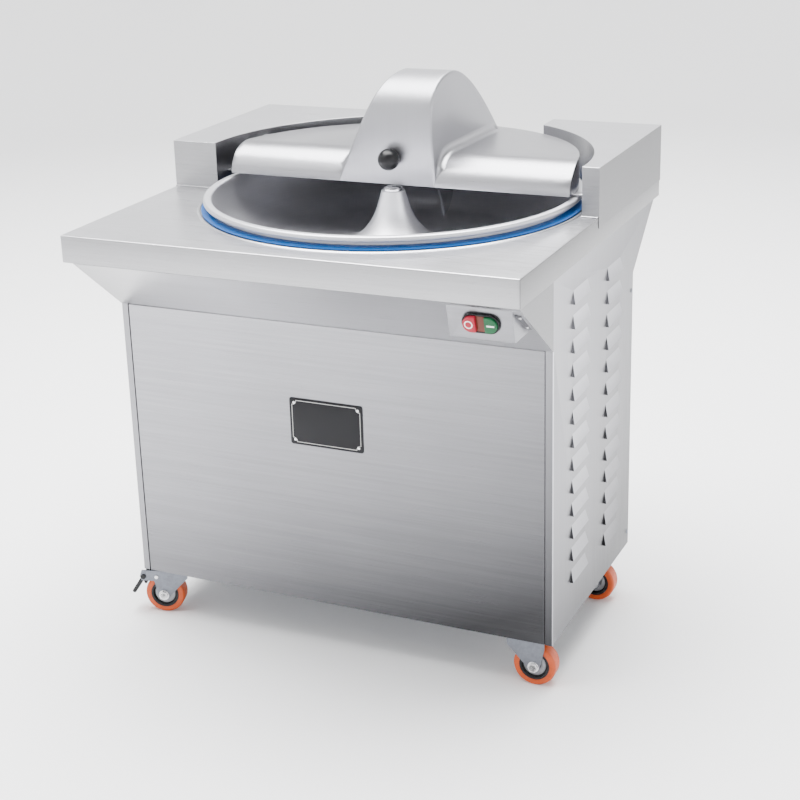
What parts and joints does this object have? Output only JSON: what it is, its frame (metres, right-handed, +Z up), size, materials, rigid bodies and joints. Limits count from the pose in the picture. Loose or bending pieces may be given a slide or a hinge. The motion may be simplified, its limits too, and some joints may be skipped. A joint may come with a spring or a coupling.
{
  "type": "bowl cutter",
  "caption": "Bowl cutter for chopping food: a turning round bowl, knives under a hinged half lid, on a stainless cabinet with swivel casters.",
  "frame": {"origin": "on the floor, under the centre of the worktop's rectangle", "axes": "+X to the operator's right, +Y from the front to the rear, +Z up"},
  "size_m": [0.8018, 0.71, 0.94],
  "materials": {
    "stainless": "brushed",
    "blade_steel": "ground",
    "galvanised": "zinc plated",
    "frame_paint": "matt paint",
    "motor_paint": "satin paint",
    "cast_iron": "machined",
    "aluminium": "bright",
    "black_plate": "satin paint",
    "black_plastic": "gloss",
    "red_plastic": "gloss",
    "green_plastic": "gloss",
    "amber_lens": "translucent",
    "blue_plastic": "gloss",
    "black_rubber": "matt",
    "orange_tyre": "satin",
    "pedal_black": "satin paint"
  },
  "bodies": {
    "cabinet": {"base_plate": "galvanised", "bearing_tube": "stainless", "bowl_gearmotor": "motor_paint", "button_bezel": "black_plastic", "cable_gland": "black_plastic", "caster_bolts": "galvanised", "caster_plates": "galvanised", "front_apron": "stainless", "front_panel": "stainless", "hinge_bracket": "stainless", "hinge_pin": "stainless", "inner_frame": "frame_paint", "knife_motor": "motor_paint", "lamp": "amber_lens", "left_housing": "stainless", "left_side_panel": "stainless", "lid_rests": "stainless", "nameplate": "black_plate", "nameplate_rivets": "aluminium", "panel_screws": "stainless", "rear_apron": "stainless", "rear_panel": "stainless", "right_housing": "stainless", "right_side_panel": "stainless", "spindle_housing": "cast_iron", "switch_box": "stainless", "v_belts": "black_rubber", "worktop": "stainless"},
    "bowl_unit": {"bowl": "stainless", "bowl_ring": "blue_plastic", "bowl_cap": "stainless", "bowl_spindle": "stainless"},
    "knife_unit": {"knife_shaft": "stainless", "knives": "blade_steel", "knife_spacers": "stainless", "knife_nut": "stainless", "knife_pulley": "cast_iron"},
    "motor_unit": {"motor_rotor": "cast_iron"},
    "lid_unit": {"lid_cover": "stainless", "lid_arch": "stainless", "lid_hinge": "stainless", "lid_knob": "black_plastic"},
    "stop_unit": {"stop_button": "red_plastic"},
    "start_unit": {"start_button": "green_plastic"},
    "fork_unit_front_left": {"fork_front_left": "galvanised"},
    "wheel_unit_front_left": {"tread_front_left": "orange_tyre", "hub_front_left": "black_plastic"},
    "pedal_unit_front_left": {"pedal_front_left": "pedal_black"},
    "fork_unit_front_right": {"fork_front_right": "galvanised"},
    "wheel_unit_front_right": {"tread_front_right": "orange_tyre", "hub_front_right": "black_plastic"},
    "fork_unit_rear_left": {"fork_rear_left": "galvanised"},
    "wheel_unit_rear_left": {"tread_rear_left": "orange_tyre", "hub_rear_left": "black_plastic"},
    "pedal_unit_rear_left": {"pedal_rear_left": "pedal_black"},
    "fork_unit_rear_right": {"fork_rear_right": "galvanised"},
    "wheel_unit_rear_right": {"tread_rear_right": "orange_tyre", "hub_rear_right": "black_plastic"}
  },
  "joints": [
    {"name": "bowl_spin", "type": "hinge", "parent": "cabinet", "child": "bowl_unit", "pos_m": [0.028, 0.013, 0.7], "axis": [0, 0, 1], "continuous": true},
    {"name": "knife_spin", "type": "hinge", "parent": "cabinet", "child": "knife_unit", "pos_m": [0.068, 0.14, 0.782], "axis": [1, 0, 0], "continuous": true},
    {"name": "motor_spin", "type": "hinge", "parent": "cabinet", "child": "motor_unit", "pos_m": [-0.337, 0.112, 0.1873], "axis": [1, 0, 0], "continuous": true},
    {"name": "lid_lift", "type": "hinge", "parent": "cabinet", "child": "lid_unit", "pos_m": [0.028, 0.337, 0.807], "axis": [-1, 0, 0], "range_deg": [0, 80]},
    {"name": "stop_press", "type": "slide", "parent": "cabinet", "child": "stop_unit", "axis": [0, 0.9674, 0.2532], "range_m": [0, 0.003], "stiffness_N_per_m": 400},
    {"name": "start_press", "type": "slide", "parent": "cabinet", "child": "start_unit", "axis": [0, 0.9674, 0.2532], "range_m": [0, 0.003], "stiffness_N_per_m": 400},
    {"name": "swivel_front_left", "type": "hinge", "parent": "cabinet", "child": "fork_unit_front_left", "pos_m": [-0.335, -0.184, 0.08], "axis": [0, 0, 1], "continuous": true},
    {"name": "roll_front_left", "type": "hinge", "parent": "fork_unit_front_left", "child": "wheel_unit_front_left", "pos_m": [-0.34949, -0.18788, 0.0355], "axis": [0.2588, -0.9659, 0], "continuous": true},
    {"name": "brake_front_left", "type": "hinge", "parent": "fork_unit_front_left", "child": "pedal_unit_front_left", "pos_m": [-0.38426, -0.1972, 0.07], "axis": [0.2588, -0.9659, 0], "range_deg": [0, 10]},
    {"name": "swivel_front_right", "type": "hinge", "parent": "cabinet", "child": "fork_unit_front_right", "pos_m": [0.335, -0.184, 0.08], "axis": [0, 0, 1], "continuous": true},
    {"name": "roll_front_right", "type": "hinge", "parent": "fork_unit_front_right", "child": "wheel_unit_front_right", "pos_m": [0.34999, -0.18348, 0.0355], "axis": [-0.0349, 0.9994, 0], "continuous": true},
    {"name": "swivel_rear_left", "type": "hinge", "parent": "cabinet", "child": "fork_unit_rear_left", "pos_m": [-0.335, 0.134, 0.08], "axis": [0, 0, 1], "continuous": true},
    {"name": "roll_rear_left", "type": "hinge", "parent": "fork_unit_rear_left", "child": "wheel_unit_rear_left", "pos_m": [-0.35, 0.134, 0.0355], "axis": [0, -1, 0], "continuous": true},
    {"name": "brake_rear_left", "type": "hinge", "parent": "fork_unit_rear_left", "child": "pedal_unit_rear_left", "pos_m": [-0.386, 0.134, 0.07], "axis": [0, -1, 0], "range_deg": [0, 10]},
    {"name": "swivel_rear_right", "type": "hinge", "parent": "cabinet", "child": "fork_unit_rear_right", "pos_m": [0.335, 0.134, 0.08], "axis": [0, 0, 1], "continuous": true},
    {"name": "roll_rear_right", "type": "hinge", "parent": "fork_unit_rear_right", "child": "wheel_unit_rear_right", "pos_m": [0.35, 0.134, 0.0355], "axis": [0, 1, 0], "continuous": true}
  ],
  "couplings": [
    {"joint": "motor_spin", "follows": "knife_spin", "ratio": 0.52}
  ]
}
